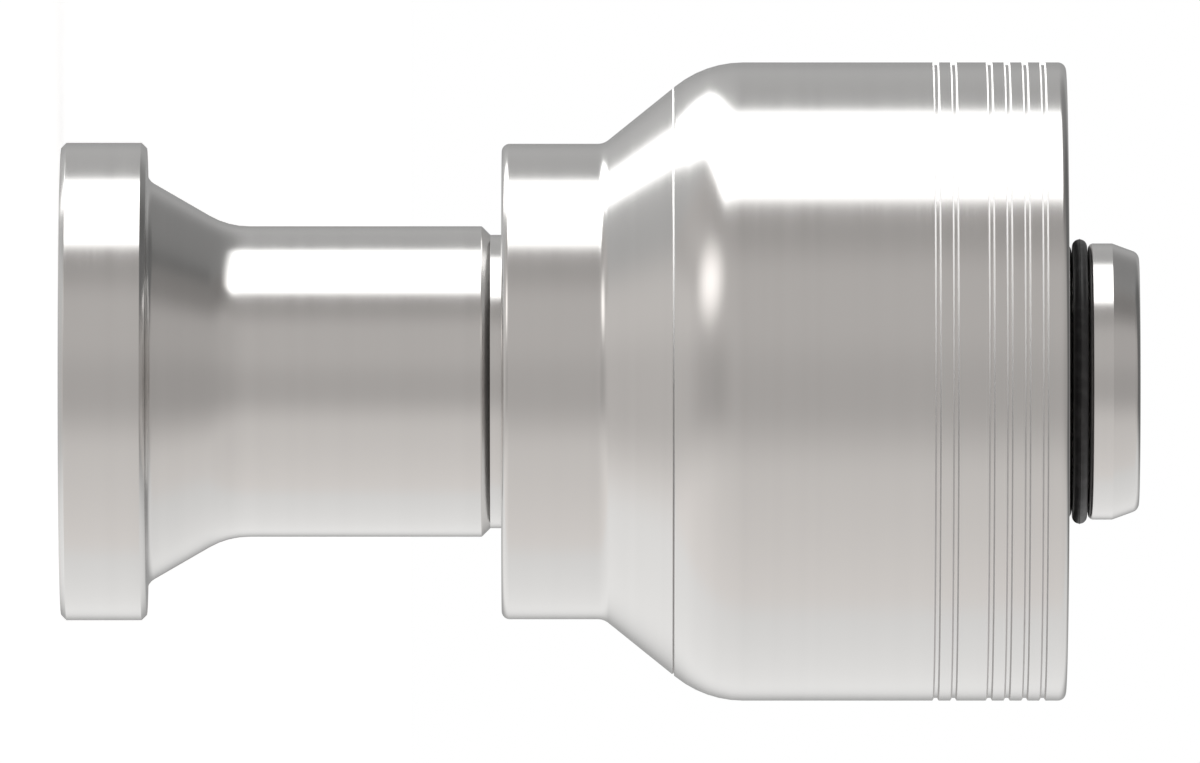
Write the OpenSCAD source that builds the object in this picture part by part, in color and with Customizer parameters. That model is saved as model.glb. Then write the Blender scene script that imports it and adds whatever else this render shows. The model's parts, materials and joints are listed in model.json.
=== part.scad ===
// Straight flange-head hose fitting.
// A nipple turned in one piece has a flange head at one end and a hose tail at the other.
// A crimp shell is locked round the neck of the nipple, and a seal ring sits near the nose of the tail.
// Sizes are in millimetres. The flange face stands at height zero, and the axis runs up to the nose.

/* [Flange head] */
// Diameter of the flange head
flange_d = 44.45; // [43:0.05:48]
// Thickness of the flange head
flange_t = 8; // [6:0.1:12]
// Chamfer on both rims of the flange head
flange_edge = 0.5; // [0.2:0.05:0.8]

/* [Face seal groove] */
// Outer diameter of the seal groove in the flange face
seal_groove_d = 39.7; // [38.5:0.1:41]
// Width of the seal groove
seal_groove_w = 4; // [3:0.1:5]
// Depth of the seal groove
seal_groove_depth = 2.8; // [2:0.1:3.5]
// Radius in the floor corners of the seal groove
seal_groove_fillet = 0.5; // [0.1:0.05:0.8]

/* [Flow bore] */
// Diameter of the bore through the nipple
bore_d = 20; // [16:0.1:21]
// Chamfer of the bore at the flange face
bore_face_edge = 0.8; // [0.3:0.1:1.5]
// Chamfer of the bore at the nose
bore_nose_edge = 0.5; // [0.2:0.05:0.7]

/* [Cone and shank] */
// Diameter at which the cone meets the back of the flange head
cone_d = 37.6; // [36:0.1:39]
// Slope of the cone, measured from the axis
cone_angle = 30; // [25:1:40]
// Radius between the flange head and the cone
cone_root_fillet = 1.35; // [0.6:0.05:1.8]
// Radius that blends the cone into the shank
cone_blend = 7.4; // [4:0.1:9]
// Diameter of the shank
shank_d = 28.9; // [28.3:0.1:31]
// Distance from the flange face to the foot of the shank's sloping shoulder
shoulder_reach = 39.95; // [34:0.05:60]
// Slope of the shoulder, measured from the axis
shoulder_angle = 45; // [30:1:60]
// Radius on the edge between the shank and its shoulder
shoulder_round = 0.25; // [0.05:0.05:0.4]

/* [Neck and lock] */
// Diameter of the neck that carries the crimp shell
neck_d = 27.3; // [26.8:0.1:27.9]
// Bare stretch of neck between the shoulder and the crimp shell
neck_gap = 1.05; // [0.4:0.05:4]
// Distance from the front of the crimp shell to the middle of the lock groove
lock_reach = 6.5; // [4.5:0.1:8.5]
// Width of the lock groove at its floor
lock_w = 3; // [2:0.1:4]
// Depth of the lock groove
lock_depth = 0.9; // [0.5:0.05:1.2]
// Slope of the lock groove's flanks, measured from the radius
lock_flank_angle = 30; // [15:1:45]
// Play between the neck and the bore of the crimp shell
neck_play = 0.05; // [0.03:0.01:0.15]
// Play on every side of the shell's lip in the lock groove
lock_play = 0.08; // [0.05:0.01:0.15]

/* [Hose tail] */
// Diameter of the hose tail
tail_d = 25.7; // [25:0.1:26.3]
// How far the tail stands out of the crimp shell
tail_reach = 6.8; // [5.8:0.1:12]
// Length of the taper at the nose
nose_taper_l = 2.5; // [1.5:0.1:3]
// Slope of the taper at the nose, measured from the axis
nose_angle = 20; // [12:1:22]
// Radius on the rim of the nose
nose_round = 0.85; // [0.3:0.05:0.9]
// Distance from one tail barb to the next
barb_pitch = 5; // [4:0.1:7]
// Depth of the notch behind each tail barb
barb_depth = 0.6; // [0.3:0.05:0.8]
// Slope of the long side of each notch, measured from the axis
barb_slope = 10; // [9:0.5:14]
// Slope of the holding side of each notch, measured from the radius
barb_flank_angle = 15; // [5:1:30]
// Plain stretch of tail between the hose stop and the first barb
barb_lead = 2.5; // [1:0.1:5]
// Plain stretch of tail kept clear in front of the shell's mouth
barb_tail_land = 3.5; // [2.5:0.1:8]

/* [Tail seal ring] */
// Thickness of the seal ring
ring_t = 1.5; // [1.3:0.05:1.8]
// How far the seal ring stands proud of the tail
ring_proud = 0.44; // [0.2:0.02:0.5]
// Distance from the rear of the crimp shell to the middle of the seal ring
ring_reach = 1.27; // [1.2:0.01:2.2]
// Play on each side of the seal ring in its groove
ring_side_play = 0.03; // [0.02:0.01:0.1]
// Play between the seal ring and the floor of its groove
ring_floor_play = 0.02; // [0.01:0.01:0.05]
// Radius on the groove edge that faces the crimp shell
ring_edge_shell = 0.7; // [0.1:0.05:0.7]
// Radius on the groove edge that faces the nose
ring_edge_nose = 0.5; // [0.1:0.05:0.6]
// Radius in the floor corners of the ring groove
ring_groove_fillet = 0.2; // [0.05:0.05:0.25]

/* [Crimp shell outside] */
// Length of the crimp shell
shell_l = 52.5; // [46:0.1:70]
// Diameter of the shell's neck
shell_neck_d = 44.25; // [42:0.05:46]
// Length of the shell's neck
shell_neck_l = 9.5; // [7:0.1:12]
// Slope of the shell's cone, measured from the axis
shell_cone_angle = 38.8; // [30:0.2:45]
// Radius between the shell's neck and its cone
shell_root_fillet = 1.6; // [0.5:0.05:2.5]
// Diameter of the shell's body
shell_d = 59.4; // [57:0.1:64]
// Radius that blends the cone into the shell's body
shell_blend = 10; // [6:0.1:11]
// Radius on the front rim of the crimp shell
shell_front_round = 0.75; // [0.3:0.05:1.2]
// Radius on the rear rim of the crimp shell
shell_rear_round = 0.75; // [0.3:0.05:1.2]
// Width of the hairline groove where the cone meets its blend
hairline_w = 0.2; // [0.1:0.02:0.4]
// Depth of the hairline groove
hairline_depth = 0.15; // [0.1:0.01:0.3]

/* [Shell marks] */
// Distance from the rear of the crimp shell to the middle of the last ring mark
mark_reach = 2.2; // [1.8:0.05:4]
// Distance from one ring mark to the next
mark_pitch = 1.655; // [1.2:0.005:2]
// Width of a ring mark at the surface
mark_w = 0.6; // [0.45:0.05:0.9]
// Width of a ring mark at its floor
mark_floor_w = 0.28; // [0.1:0.02:0.4]
// Depth of a ring mark
mark_depth = 0.25; // [0.1:0.05:0.5]

/* [Crimp shell inside] */
// Distance from the front of the crimp shell to the hose stop
stop_reach = 13.5; // [12.5:0.1:16]
// Diameter of the flat hose stop
stop_d = 38.4; // [34:0.1:40]
// Slope of the wall behind the hose stop, measured from the axis
stop_wall_angle = 45; // [40:1:60]
// Chamfer on the front edge of the shell's bore
shell_bore_edge = 0.6; // [0.2:0.05:1]
// Diameter of the plain land at the shell's mouth
mouth_d = 43.2; // [42.6:0.1:43.8]
// Length of the plain land at the shell's mouth
mouth_l = 4.5; // [3:0.1:8]
// Chamfer on the edge of the shell's mouth
mouth_edge = 1; // [0.3:0.1:1.5]

/* [Grip teeth] */
// Diameter across the crests of the grip teeth
tooth_crest_d = 42; // [40.5:0.1:42.4]
// Diameter across the roots of the grip teeth
tooth_root_d = 45.6; // [44.2:0.1:47]
// Distance from one grip tooth to the next
tooth_pitch = 5; // [4.5:0.1:7]
// Width of a tooth's crest
tooth_crest_w = 1.4; // [0.8:0.1:1.6]
// Slope of the flank that holds the hose, measured from the radius
tooth_hold_angle = 15; // [5:1:25]
// Slope of the flank that the hose slides over, measured from the radius
tooth_lead_angle = 35; // [25:1:40]

/* [Hidden] */

$fn = 96;
// Largest angle that one straight step of a rounded corner turns through
arc_step = 5;
// Places of the ring marks, counted in pitches from the rear: the place between 3 and 5 is left plain
mark_places = [6, 5, 3, 2, 1, 0];
steel_colour = [0.78, 0.77, 0.76];
ring_colour = [0.07, 0.07, 0.07];

flange_r = flange_d / 2;
seal_groove_r = seal_groove_d / 2;
bore_r = bore_d / 2;
cone_r = cone_d / 2;
shank_r = shank_d / 2;
neck_r = neck_d / 2;
tail_r = tail_d / 2;
shell_neck_r = shell_neck_d / 2;
shell_r = shell_d / 2;
stop_r = stop_d / 2;
mouth_r = mouth_d / 2;
crest_r = tooth_crest_d / 2;
root_r = tooth_root_d / 2;

cone_end = flange_t + (cone_r - shank_r) / tan(cone_angle);
shoulder_start = shoulder_reach - (shank_r - neck_r) / tan(shoulder_angle);

shell_front = shoulder_reach + neck_gap;
shell_rear = shell_front + shell_l;
shell_bore_r = neck_r + neck_play;
shell_cone_start = shell_front + shell_neck_l;
shell_cone_end = shell_cone_start + (shell_r - shell_neck_r) / tan(shell_cone_angle);
shell_blend_leg = shell_blend * tan(shell_cone_angle / 2);

lock_z = shell_front + lock_reach;
lock_floor_r = neck_r - lock_depth;
lock_lip_r = lock_floor_r + lock_play;
lock_lip_w = lock_w - 2 * lock_play;

hose_stop = shell_front + stop_reach;
neck_end = hose_stop - (neck_r - tail_r);
stop_wall_end = hose_stop + (root_r - stop_r) / tan(stop_wall_angle);

tooth_h = root_r - crest_r;
tooth_hold_l = tooth_h * tan(tooth_hold_angle);
tooth_lead_l = tooth_h * tan(tooth_lead_angle);
mouth_start = shell_rear - mouth_l;
mouth_step_l = (root_r - mouth_r) * tan(tooth_hold_angle);
tooth_count = floor((mouth_start - mouth_step_l - stop_wall_end) / tooth_pitch);
teeth_start = mouth_start - mouth_step_l - tooth_count * tooth_pitch;

barb_slope_l = barb_depth / tan(barb_slope);
barb_flank_l = barb_depth * tan(barb_flank_angle);
barbs_start = hose_stop + barb_lead;
barb_count = floor((shell_rear - barb_tail_land - barbs_start) / barb_pitch);

ring_z = shell_rear + ring_reach;
ring_r = tail_r + ring_proud - ring_t / 2;
ring_groove_w = ring_t + 2 * ring_side_play;
ring_floor_r = ring_r - ring_t / 2 - ring_floor_play;

nose_top = shell_rear + tail_reach;
nose_start = nose_top - nose_taper_l;
nose_face_r = tail_r - nose_taper_l * tan(nose_angle);

// A profile is a list of corners, each [radius, height] or [radius, height, rounding]

// The vector shortened or stretched to length one
function unit(v) = v / norm(v);

// The vector turned by an angle
function turned_by(v, angle) =
    [v[0] * cos(angle) - v[1] * sin(angle), v[0] * sin(angle) + v[1] * cos(angle)];

// The place of a corner, without its rounding
function place(corner) = [corner[0], corner[1]];

// The list from its end to its start
function reversed(list) = [for (i = [len(list) - 1 : -1 : 0]) list[i]];

// The points that stand for one corner: its own place, or the arc that rounds it off
function rounded_corner(before, here, after) =
    len(here) < 3 ? [place(here)] :
    let (
        back = unit(place(before) - place(here)),
        onward = unit(place(after) - place(here)),
        half_angle = acos(back * onward) / 2,
        leg = here[2] / tan(half_angle),
        centre = place(here) + unit(back + onward) * here[2] / sin(half_angle),
        spoke = place(here) + back * leg - centre,
        sweep = (180 - 2 * half_angle) * sign(cross(onward, back)),
        steps = ceil(abs(sweep) / arc_step)
    )
    [for (i = [0 : steps]) centre + turned_by(spoke, sweep * i / steps)];

// A whole profile with its corners rounded
function rounded(profile) =
    let (count = len(profile))
    [for (i = [0 : count - 1])
        each rounded_corner(profile[(i + count - 1) % count], profile[i], profile[(i + 1) % count])];

// The solid that a profile sweeps out round the axis
module turned(profile) {
    rotate_extrude()
        polygon(rounded(profile));
}

// The flange face, with the mouth of the bore and the seal groove
function flange_face() = [
    [bore_r, bore_face_edge],
    [bore_r + bore_face_edge, 0],
    [seal_groove_r - seal_groove_w, 0],
    [seal_groove_r - seal_groove_w, seal_groove_depth, seal_groove_fillet],
    [seal_groove_r, seal_groove_depth, seal_groove_fillet],
    [seal_groove_r, 0],
];

// The rim of the flange head, the cone behind it and the shank up to the foot of its shoulder
function flange_and_shank() = [
    [flange_r - flange_edge, 0],
    [flange_r, flange_edge],
    [flange_r, flange_t - flange_edge],
    [flange_r - flange_edge, flange_t],
    [cone_r, flange_t, cone_root_fillet],
    [shank_r, cone_end, cone_blend],
    [shank_r, shoulder_start, shoulder_round],
    [neck_r, shoulder_reach],
];

// A groove or a lip round the neck, between a wide side at one radius and a narrow side at another
function lock_band(wide_r, narrow_r, narrow_w) =
    let (flank_l = (wide_r - narrow_r) * tan(lock_flank_angle))
    [
        [wide_r, lock_z - narrow_w / 2 - flank_l],
        [narrow_r, lock_z - narrow_w / 2],
        [narrow_r, lock_z + narrow_w / 2],
        [wide_r, lock_z + narrow_w / 2 + flank_l],
    ];

// The notches behind the barbs of the hose tail
function tail_barbs() = [
    for (i = [0 : barb_count - 1])
        let (start = barbs_start + i * barb_pitch)
        each [
            [tail_r, start],
            [tail_r - barb_depth, start + barb_slope_l],
            [tail_r, start + barb_slope_l + barb_flank_l],
        ]
];

// The groove that the seal ring sits in
function ring_groove() = [
    [tail_r, ring_z - ring_groove_w / 2, ring_edge_shell],
    [ring_floor_r, ring_z - ring_groove_w / 2, ring_groove_fillet],
    [ring_floor_r, ring_z + ring_groove_w / 2, ring_groove_fillet],
    [tail_r, ring_z + ring_groove_w / 2, ring_edge_nose],
];

// The tapered nose, and the end of the bore in it
function nose() = [
    [tail_r, nose_start],
    [nose_face_r, nose_top, nose_round],
    [bore_r + bore_nose_edge, nose_top],
    [bore_r, nose_top - bore_nose_edge],
];

// The flange head, cone, shank, neck and hose tail, turned in one piece
module nipple() {
    color(steel_colour)
        turned(concat(
            flange_face(),
            flange_and_shank(),
            lock_band(neck_r, lock_floor_r, lock_w),
            [[neck_r, neck_end], [tail_r, hose_stop]],
            tail_barbs(),
            ring_groove(),
            nose()
        ));
}

// The hairline groove, square to the cone, one width ahead of the blend into the shell's body
function hairline() =
    let (
        along = [sin(shell_cone_angle), cos(shell_cone_angle)],
        inward = [-cos(shell_cone_angle), sin(shell_cone_angle)],
        end = [shell_r, shell_cone_end] - along * (shell_blend_leg + hairline_w),
        start = end - along * hairline_w
    )
    [start, start + inward * hairline_depth, end + inward * hairline_depth, end];

// The shallow ring marks near the shell's mouth
function ring_marks() = [
    for (place_no = mark_places)
        let (middle = shell_rear - mark_reach - place_no * mark_pitch)
        each [
            [shell_r, middle - mark_w / 2],
            [shell_r - mark_depth, middle - mark_floor_w / 2],
            [shell_r - mark_depth, middle + mark_floor_w / 2],
            [shell_r, middle + mark_w / 2],
        ]
];

// The outside of the crimp shell, from its front face to its mouth
function shell_outside() = concat(
    [
        [shell_bore_r + shell_bore_edge, shell_front],
        [shell_neck_r, shell_front, shell_front_round],
        [shell_neck_r, shell_cone_start, shell_root_fillet],
    ],
    hairline(),
    [[shell_r, shell_cone_end, shell_blend]],
    ring_marks(),
    [[shell_r, shell_rear, shell_rear_round]]
);

// The grip teeth, each with a steep holding flank towards the hose stop and a long flank towards the mouth
function grip_teeth() = [
    for (i = [0 : tooth_count - 1])
        let (start = teeth_start + i * tooth_pitch)
        each [
            [root_r, start],
            [crest_r, start + tooth_hold_l],
            [crest_r, start + tooth_hold_l + tooth_crest_w],
            [root_r, start + tooth_hold_l + tooth_crest_w + tooth_lead_l],
        ]
];

// The inside of the crimp shell, from its front face to its mouth
function shell_inside() = concat(
    [[shell_bore_r, shell_front + shell_bore_edge]],
    lock_band(shell_bore_r, lock_lip_r, lock_lip_w),
    [
        [shell_bore_r, hose_stop],
        [stop_r, hose_stop],
        [root_r, stop_wall_end],
    ],
    grip_teeth(),
    [
        [root_r, mouth_start - mouth_step_l],
        [mouth_r, mouth_start],
        [mouth_r, shell_rear - mouth_edge],
        [mouth_r + mouth_edge, shell_rear],
    ]
);

// The crimp shell, with its lip locked in the groove of the neck and grip teeth round the hose space
module crimp_shell() {
    color(steel_colour)
        turned(concat(shell_outside(), reversed(shell_inside())));
}

// The seal ring near the nose of the tail
module tail_o_ring() {
    color(ring_colour)
        translate([0, 0, ring_z])
            rotate_extrude()
                translate([ring_r, 0])
                    circle(d = ring_t);
}

nipple();
crimp_shell();
tail_o_ring();
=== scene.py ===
"""Looks of a straight flange-head crimp hose fitting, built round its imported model.

The nipple, the crimp shell and the tail seal ring are turned again here as fine meshes with broken edges.
Sizes are in millimetres and become metres when a point is placed. The fitting stands on its flange face,
its axis is the Z axis, and the camera lies on its side, so that the axis runs across the picture.
"""

import json
import logging
import math
from dataclasses import dataclass, field
from enum import Enum
from functools import cached_property

import bpy
from mathutils import Matrix, Vector


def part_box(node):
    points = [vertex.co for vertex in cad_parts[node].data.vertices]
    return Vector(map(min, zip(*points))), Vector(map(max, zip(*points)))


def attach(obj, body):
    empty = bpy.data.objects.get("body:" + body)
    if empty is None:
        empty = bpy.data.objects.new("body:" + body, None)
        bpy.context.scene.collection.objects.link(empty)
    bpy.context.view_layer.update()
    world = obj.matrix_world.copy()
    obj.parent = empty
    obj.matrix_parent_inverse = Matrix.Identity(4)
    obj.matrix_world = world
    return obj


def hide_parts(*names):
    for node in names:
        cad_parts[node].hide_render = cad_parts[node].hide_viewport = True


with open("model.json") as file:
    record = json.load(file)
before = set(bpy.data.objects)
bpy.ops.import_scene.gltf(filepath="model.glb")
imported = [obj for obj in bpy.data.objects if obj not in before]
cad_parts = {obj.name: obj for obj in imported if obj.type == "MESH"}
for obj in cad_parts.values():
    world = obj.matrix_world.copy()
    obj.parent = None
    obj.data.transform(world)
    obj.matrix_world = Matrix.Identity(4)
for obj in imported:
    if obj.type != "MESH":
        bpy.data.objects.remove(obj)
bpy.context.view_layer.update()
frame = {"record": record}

MM = 0.001
# Shares of the bright steel's colour that bored faces keep, and that the shell's front bore keeps as painted
# shade
BORED_SHARE = 0.72
PAINTED_SHADE_SHARE = 0.36
LOG = logging.getLogger("hose_fitting")


class Cut(Enum):
    """How a stretch of surface was cut, which says what finish it gets."""

    TURNED = 0
    BORED = 1
    # SCORED is no cut: it is a pale dull colour on the ring marks' flanks and the hairline that stands in for
    # their highlights
    SCORED = 2
    # SEATED is no cut: it is painted shade, a dark colour on the shell's bore ahead of its stop, where it
    # meets the nipple's shoulder
    SEATED = 3


@dataclass(frozen=True)
class Corner:
    """One corner of a turning profile, in millimetres.

    Attributes:
        r: Distance from the axis.
        z: Height over the flange face.
        rounding: Radius on the corner, or zero for a knife edge.
    """

    r: float
    z: float
    rounding: float = 0.0

    def place(self) -> Vector:
        """Returns the corner without its rounding."""
        return Vector((self.r, self.z))


@dataclass(frozen=True)
class Lathe:
    """Turns a profile into a mesh by hand operations: one point is extruded into a chain and spun.

    Attributes:
        steps: Number of steps round the axis.
        arc_step: Largest angle, in degrees, that one straight step of a rounded corner turns through.
        fine_step: The same for an edge break, which is too small to show its steps. It is under the crease.
        broad: Radius, in millimetres, from which a rounded corner is more than an edge break.
        fewest: Fewest steps that a rounded corner gets.
        crease: Angle, in degrees, over which an edge stays sharp.
        weld: Distance, in millimetres, under which two points become one.
        face_weight: How strongly a large face pulls the normals at its corners, out of 100.
    """

    steps: int = 256
    arc_step: float = 7.5
    fine_step: float = 22.5
    broad: float = 0.1
    fewest: int = 3
    crease: float = 24.0
    weld: float = 0.001
    face_weight: int = 100

    def arc(self, before: Corner, here: Corner, after: Corner) -> list[Vector]:
        """Rounds one corner off.

        Args:
            before: The corner ahead of it.
            here: The corner to round.
            after: The corner behind it.

        Returns:
            The points that stand for the corner.
        """
        if here.rounding == 0:
            return [here.place()]
        back = (before.place() - here.place()).normalized()
        onward = (after.place() - here.place()).normalized()
        half = back.angle(onward) / 2
        leg = here.rounding / math.tan(half)
        centre = here.place() + (back + onward).normalized() * here.rounding / math.sin(half)
        spoke = here.place() + back * leg - centre
        sweep = math.copysign(math.pi - 2 * half, onward.x * back.y - onward.y * back.x)
        step = self.arc_step if here.rounding >= self.broad else self.fine_step
        count = max(self.fewest, math.ceil(math.degrees(abs(sweep)) / step))
        turns = [Matrix.Rotation(sweep * i / count, 2) for i in range(count + 1)]
        return [centre + turn @ spoke for turn in turns]

    def points(self, corners: list[Corner]) -> list[Vector]:
        """Rounds every corner of a closed profile.

        Args:
            corners: The corners in order.

        Returns:
            The points of the whole profile.
        """
        count = len(corners)
        found = []
        for i, here in enumerate(corners):
            found += self.arc(corners[i - 1], here, corners[(i + 1) % count])
        return found

    def turn(self, name: str, corners: list[Corner]) -> bpy.types.Object:
        """Turns a closed profile round the axis.

        Args:
            name: Name of the piece.
            corners: The corners of its profile.

        Returns:
            The finished mesh object, at the origin.
        """
        path = [Vector((p.x, 0, p.y)) * MM for p in self.points(corners)]
        deselect_all()
        bpy.ops.mesh.primitive_plane_add(size=MM, location=(0, 0, 0))
        piece = bpy.context.object
        piece.name = name
        piece.data.name = name
        bpy.ops.object.mode_set(mode="EDIT")
        bpy.ops.mesh.select_all(action="SELECT")
        bpy.ops.mesh.merge(type="CENTER")
        bpy.ops.transform.translate(value=path[0])
        for start, end in zip(path, path[1:]):
            bpy.ops.mesh.extrude_region_move(TRANSFORM_OT_translate={"value": end - start})
        bpy.ops.object.mode_set(mode="OBJECT")
        close_chain(piece)
        bpy.ops.object.mode_set(mode="EDIT")
        bpy.ops.mesh.select_all(action="SELECT")
        bpy.ops.mesh.spin(steps=self.steps, angle=math.tau, center=(0, 0, 0), axis=(0, 0, 1))
        bpy.ops.mesh.select_all(action="SELECT")
        bpy.ops.mesh.remove_doubles(threshold=MM * self.weld)
        bpy.ops.mesh.normals_make_consistent(inside=False)
        bpy.ops.object.mode_set(mode="OBJECT")
        self.smooth(piece)
        return piece

    def smooth(self, piece: bpy.types.Object) -> None:
        """Shades a piece smooth, with its long faces kept true by weighted normals.

        Args:
            piece: The mesh to shade.
        """
        bpy.ops.object.shade_smooth_by_angle(angle=math.radians(self.crease))
        weighted = piece.modifiers.new("true_faces", "WEIGHTED_NORMAL")
        weighted.keep_sharp = True
        weighted.weight = self.face_weight
        bpy.ops.object.modifier_apply(modifier=weighted.name)


def deselect_all() -> None:
    """Leaves nothing selected, so that an operator acts on the new piece alone."""
    bpy.ops.object.select_all(action="DESELECT")


def close_chain(piece: bpy.types.Object) -> None:
    """Joins the two loose ends of a chain of edges.

    Args:
        piece: The object that holds the chain.
    """
    uses = [0] * len(piece.data.vertices)
    for edge in piece.data.edges:
        for index in edge.vertices:
            uses[index] += 1
    for vertex, count in zip(piece.data.vertices, uses):
        vertex.select = count == 1
    bpy.ops.object.mode_set(mode="EDIT")
    bpy.ops.mesh.edge_face_add()
    bpy.ops.object.mode_set(mode="OBJECT")


class Field:
    """A number in a node tree, with the plain signs of arithmetic."""

    def __init__(self, tree: bpy.types.NodeTree, socket: bpy.types.NodeSocket) -> None:
        """Keeps the tree and the socket that gives the number."""
        self.tree = tree
        self.socket = socket

    def node(self, operation: str, *inputs: "Field | float") -> "Field":
        """Adds a Math node.

        Args:
            operation: Name of its operation.
            inputs: Numbers or fields for its inputs.

        Returns:
            The node's result.
        """
        made = self.tree.nodes.new("ShaderNodeMath")
        made.operation = operation
        for socket, value in zip(made.inputs, inputs):
            plug(self.tree, socket, value)
        return Field(self.tree, made.outputs[0])

    def __add__(self, other: "Field | float") -> "Field":
        """Adds."""
        return self.node("ADD", self, other)

    def __sub__(self, other: "Field | float") -> "Field":
        """Subtracts."""
        return self.node("SUBTRACT", self, other)

    def __mul__(self, other: "Field | float") -> "Field":
        """Multiplies."""
        return self.node("MULTIPLY", self, other)

    def __truediv__(self, other: "Field | float") -> "Field":
        """Divides."""
        return self.node("DIVIDE", self, other)

    def __neg__(self) -> "Field":
        """Changes the sign."""
        return self.node("MULTIPLY", self, -1.0)

    def at_least(self, other: "Field | float") -> "Field":
        """Returns the larger of the two."""
        return self.node("MAXIMUM", self, other)

    def at_most(self, other: "Field | float") -> "Field":
        """Returns the smaller of the two."""
        return self.node("MINIMUM", self, other)

    def rise(self, low: float, high: float) -> "Field":
        """Eases from zero to one.

        Args:
            low: Value at which the result leaves zero.
            high: Value at which it reaches one. It may be the smaller of the two.

        Returns:
            The eased share.
        """
        made = self.tree.nodes.new("ShaderNodeMapRange")
        made.interpolation_type = "SMOOTHSTEP"
        forward = low < high
        plug(self.tree, made.inputs["Value"], self)
        plug(self.tree, made.inputs["From Min"], min(low, high))
        plug(self.tree, made.inputs["From Max"], max(low, high))
        plug(self.tree, made.inputs["To Min"], 0.0 if forward else 1.0)
        plug(self.tree, made.inputs["To Max"], 1.0 if forward else 0.0)
        return Field(self.tree, made.outputs["Result"])


def plug(tree: bpy.types.NodeTree, socket: bpy.types.NodeSocket, value: "Field | float") -> None:
    """Sets a socket to a number, or links a field to it.

    Args:
        tree: The node tree.
        socket: The input to fill.
        value: The number or field.
    """
    if isinstance(value, Field):
        tree.links.new(value.socket, socket)
    else:
        socket.default_value = value


def mix_colour(tree: bpy.types.NodeTree, share: Field, first: tuple, second: tuple) -> bpy.types.NodeSocket:
    """Mixes two colours.

    Args:
        tree: The node tree.
        share: How much of the second colour shows.
        first: The first colour, as red, green and blue.
        second: The second colour.

    Returns:
        The socket with the mixed colour.
    """
    made = tree.nodes.new("ShaderNodeMix")
    made.data_type = "RGBA"
    plug(tree, made.inputs["Factor"], share)
    made.inputs["A"].default_value = (*first, 1)
    made.inputs["B"].default_value = (*second, 1)
    return made.outputs["Result"]


def noise(tree: bpy.types.NodeTree, places: tuple[Field, Field, Field], scale: float, detail: float) -> Field:
    """Adds a noise texture that reads the given places.

    Args:
        tree: The node tree.
        places: The three coordinates that the noise is read at.
        scale: How many times the noise repeats in one unit.
        detail: Octaves of finer noise.

    Returns:
        The noise, round about one half.
    """
    joined = tree.nodes.new("ShaderNodeCombineXYZ")
    for socket, value in zip(joined.inputs, places):
        plug(tree, socket, value)
    made = tree.nodes.new("ShaderNodeTexNoise")
    tree.links.new(joined.outputs[0], made.inputs["Vector"])
    made.inputs["Scale"].default_value = scale
    made.inputs["Detail"].default_value = detail
    return Field(tree, made.outputs["Fac"])


def blank_material(name: str) -> tuple[bpy.types.Material, bpy.types.Node, bpy.types.Node]:
    """Makes a material with nothing but its shader and output.

    Args:
        name: Name of the material.

    Returns:
        The material, its Principled shader and its output node.
    """
    made = bpy.data.materials.new(name)
    made.use_nodes = True
    made.node_tree.nodes.clear()
    shader = made.node_tree.nodes.new("ShaderNodeBsdfPrincipled")
    output = made.node_tree.nodes.new("ShaderNodeOutputMaterial")
    made.node_tree.links.new(shader.outputs[0], output.inputs["Surface"])
    return made, shader, output


def object_places(tree: bpy.types.NodeTree) -> tuple[Field, ...]:
    """Gives the place of a point on its piece.

    Args:
        tree: The node tree.

    Returns:
        Its three coordinates, in millimetres.
    """
    coordinates = tree.nodes.new("ShaderNodeTexCoord")
    split = tree.nodes.new("ShaderNodeSeparateXYZ")
    tree.links.new(coordinates.outputs["Object"], split.inputs[0])
    return tuple(Field(tree, socket) / MM for socket in split.outputs)


def add_bump(tree: bpy.types.NodeTree, shader: bpy.types.Node, height: Field) -> None:
    """Lets a fine relief shape the gloss of a shader.

    Args:
        tree: The node tree.
        shader: The shader.
        height: Height of the relief, in metres.
    """
    bump = tree.nodes.new("ShaderNodeBump")
    bump.inputs["Distance"].default_value = 1.0
    plug(tree, bump.inputs["Height"], height)
    tree.links.new(bump.outputs[0], shader.inputs["Normal"])


def lathe_places(tree: bpy.types.NodeTree, wander: float) -> tuple[Field, Field, Field]:
    """Gives the coordinates that turning marks follow: the radius and the height, in millimetres.

    Args:
        tree: The node tree.
        wander: How far the marks drift on their way round, as a share of the distance across.

    Returns:
        The radius, the height and a slow third coordinate.
    """
    x, y, z = object_places(tree)
    square = x * x + y * y
    radius = square.node("SQRT", square)
    return radius + x * wander, z + y * wander, (x + y) * wander


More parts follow.
